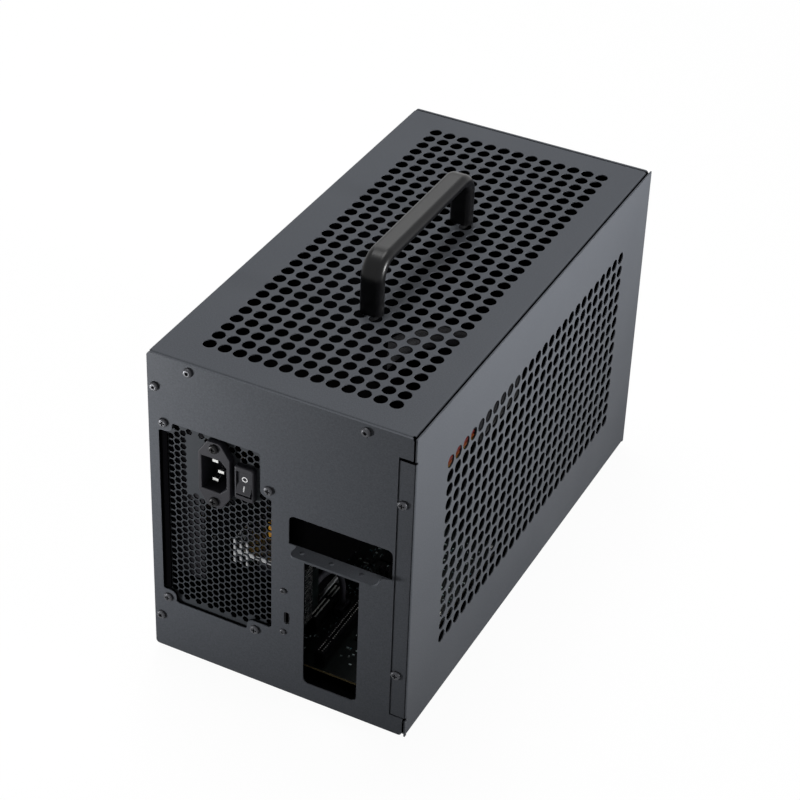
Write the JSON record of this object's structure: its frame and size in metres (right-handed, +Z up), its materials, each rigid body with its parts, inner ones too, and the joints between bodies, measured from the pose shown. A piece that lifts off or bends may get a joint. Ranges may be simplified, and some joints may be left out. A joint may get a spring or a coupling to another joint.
{
  "type": "external graphics card enclosure",
  "caption": "Upright vented steel box with a carrying handle that houses a graphics card beside a power supply, with mains inlet, rocker switch, data port and card openings at the rear",
  "frame": {"origin": "centre of the overall box's footprint, on the table", "axes": "+Z up, -Y out of the connector panel, +X out of the removable side panel"},
  "size_m": [0.182, 0.37, 0.275],
  "materials": {
    "case_paint": "dark grey sandy powder coat",
    "handle_paint": "black satin powder coat",
    "black_screw": "black zinc screw finish",
    "plated_steel": "bright plated steel",
    "foot_rubber": "black rubber",
    "supply_paint": "black powder coat",
    "black_plastic": "black moulded plastic",
    "board_laminate": "green solder mask on glass laminate",
    "spacer_brass": "turned brass",
    "sink_aluminium": "extruded aluminium",
    "winding_tape": "yellow winding tape",
    "can_sleeve": "shrunk sleeve on an aluminium can",
    "grommet_rubber": "black rubber",
    "wire_yellow": "yellow wire insulation",
    "wire_orange": "orange wire insulation",
    "wire_red": "red wire insulation",
    "wire_black": "black wire insulation",
    "braided_sleeve": "black braided cable sleeve"
  },
  "bodies": {
    "case": {"base_panel": "case_paint", "board_capacitors": "can_sleeve", "board_chips": "black_plastic", "board_screws": "plated_steel", "board_standoffs": "spacer_brass", "card_grommet": "grommet_rubber", "card_plug": "black_plastic", "card_sleeve": "braided_sleeve", "card_slot": "black_plastic", "card_wires_black": "wire_black", "card_wires_orange": "wire_orange", "card_wires_red": "wire_red", "card_wires_yellow": "wire_yellow", "controller_heatsink": "sink_aluminium", "dock_board": "board_laminate", "fan_frame": "black_plastic", "fan_grille": "plated_steel", "fan_screws": "black_screw", "feet": "foot_rubber", "front_panel": "case_paint", "handle": "handle_paint", "handle_screws": "black_screw", "inlet_body": "black_plastic", "inlet_pins": "plated_steel", "left_panel": "case_paint", "main_grommet": "grommet_rubber", "main_plug": "black_plastic", "main_socket": "black_plastic", "main_wires_black": "wire_black", "main_wires_orange": "wire_orange", "main_wires_red": "wire_red", "main_wires_yellow": "wire_yellow", "panel_screws": "black_screw", "plug_clip": "black_plastic", "port_board": "board_laminate", "port_bracket": "plated_steel", "port_lead": "black_plastic", "port_plugs": "black_plastic", "port_screws": "black_screw", "port_shell": "plated_steel", "port_tongue": "black_plastic", "rear_panel": "case_paint", "right_panel": "case_paint", "right_panel_screws": "black_screw", "screw_tabs": "case_paint", "short_slot": "black_plastic", "slot_latch": "black_plastic", "supply_board": "board_laminate", "supply_board_posts": "spacer_brass", "supply_capacitors": "can_sleeve", "supply_cover": "supply_paint", "supply_heatsinks": "sink_aluminium", "supply_screws": "black_screw", "supply_transformers": "winding_tape", "supply_tray": "supply_paint", "switch_frame": "black_plastic", "top_panel": "case_paint"},
    "rocker": {"switch_rocker": "black_plastic"},
    "fan": {"fan_rotor": "black_plastic"}
  },
  "joints": [
    {"name": "rocker_tilt", "type": "hinge", "parent": "case", "child": "rocker", "pos_m": [-0.023, -0.1727, 0.1598], "axis": [1, 0, 0], "range_deg": [0, 20]},
    {"name": "fan_spin", "type": "hinge", "parent": "case", "child": "fan", "pos_m": [-0.07, -0.1024, 0.1162], "axis": [1, 0, 0], "continuous": true}
  ]
}
